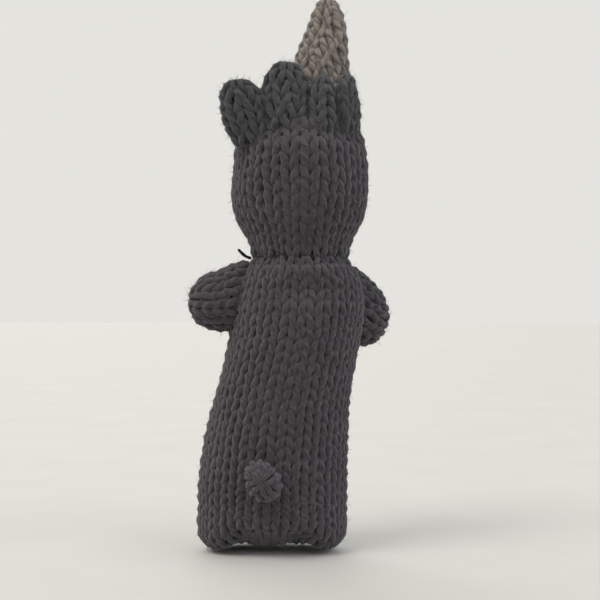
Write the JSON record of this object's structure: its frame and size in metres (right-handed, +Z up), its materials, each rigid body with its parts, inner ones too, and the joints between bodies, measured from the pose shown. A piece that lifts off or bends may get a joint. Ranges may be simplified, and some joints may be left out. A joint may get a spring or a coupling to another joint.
{
  "type": "finger puppet",
  "caption": "Knitted animal finger puppet with a stuffed head, horn, ears, stub arms and bobble tail on a hollow body tube.",
  "frame": {"origin": "on the surface that the hem stands on, under the middle of the puppet's outer box", "axes": "+Z up, the face towards -Y, the puppet's own left towards +X"},
  "size_m": [0.0444, 0.0407, 0.1212],
  "materials": {
    "charcoal_yarn": "fuzzy stockinette knit in dark charcoal yarn",
    "horn_yarn": "fuzzy marled beige-grey knit",
    "fibrefill": "loose white polyester fibre",
    "thread": "twisted black thread",
    "bead": "polished"
  },
  "bodies": {
    "body": {"body_tube": "charcoal_yarn"},
    "neck": {"neck_band": "charcoal_yarn", "neck_gather_thread": "thread", "neck_thread_end": "thread"},
    "head": {"head_skin": "charcoal_yarn", "head_stuffing": "fibrefill", "crown_lobe_left": "charcoal_yarn", "crown_lobe_right": "charcoal_yarn", "muzzle_skin": "horn_yarn", "muzzle_stuffing": "fibrefill", "left_eye_bead": "bead", "right_eye_bead": "bead", "left_nostril_stitch": "thread", "right_nostril_stitch": "thread", "mouth_stitch": "thread"},
    "left_ear": {"left_ear": "charcoal_yarn"},
    "right_ear": {"right_ear": "charcoal_yarn"},
    "horn": {"horn_skin": "horn_yarn", "horn_stuffing": "fibrefill"},
    "left_arm": {"left_arm_skin": "charcoal_yarn", "left_arm_stuffing": "fibrefill"},
    "right_arm": {"right_arm_skin": "charcoal_yarn", "right_arm_stuffing": "fibrefill"},
    "tail": {"tail_bobble": "charcoal_yarn"}
  },
  "joints": [
    {"name": "neck_nod", "type": "hinge", "parent": "body", "child": "neck", "pos_m": [-0.0021, 0.0022, 0.0635], "axis": [1, 0, 0], "range_deg": [-20, 25], "stiffness_Nm_per_rad": 0.02},
    {"name": "head_turn", "type": "hinge", "parent": "neck", "child": "head", "pos_m": [-0.0021, 0.0022, 0.0635], "axis": [0, 0, 1], "range_deg": [-35, 35], "stiffness_Nm_per_rad": 0.01},
    {"name": "left_ear_flop", "type": "hinge", "parent": "head", "child": "left_ear", "pos_m": [0.009, 0.0106, 0.08917], "axis": [1, 0, 0], "range_deg": [-30, 15], "stiffness_Nm_per_rad": 0.0006},
    {"name": "right_ear_flop", "type": "hinge", "parent": "head", "child": "right_ear", "pos_m": [-0.0129, 0.0085, 0.09176], "axis": [0.342, 0.9397, 0], "range_deg": [-30, 4], "stiffness_Nm_per_rad": 0.0006},
    {"name": "horn_tilt", "type": "hinge", "parent": "head", "child": "horn", "pos_m": [-0.0067, -0.0028, 0.09667], "axis": [0, 1, 0], "range_deg": [-12, 12], "stiffness_Nm_per_rad": 0.004},
    {"name": "left_arm_swing", "type": "hinge", "parent": "body", "child": "left_arm", "pos_m": [0.01217, 0.0022, 0.0542], "axis": [0, -1, 0], "range_deg": [-25, 35], "stiffness_Nm_per_rad": 0.0015},
    {"name": "right_arm_swing", "type": "hinge", "parent": "body", "child": "right_arm", "pos_m": [-0.01294, -0.00644, 0.0514], "axis": [-0.595, 0.8037, 0], "range_deg": [-25, 35], "stiffness_Nm_per_rad": 0.0015},
    {"name": "tail_wag", "type": "hinge", "parent": "body", "child": "tail", "pos_m": [0.0057, 0.01402, 0.017], "axis": [0, 0, 1], "range_deg": [-20, 20], "stiffness_Nm_per_rad": 0.0004}
  ]
}
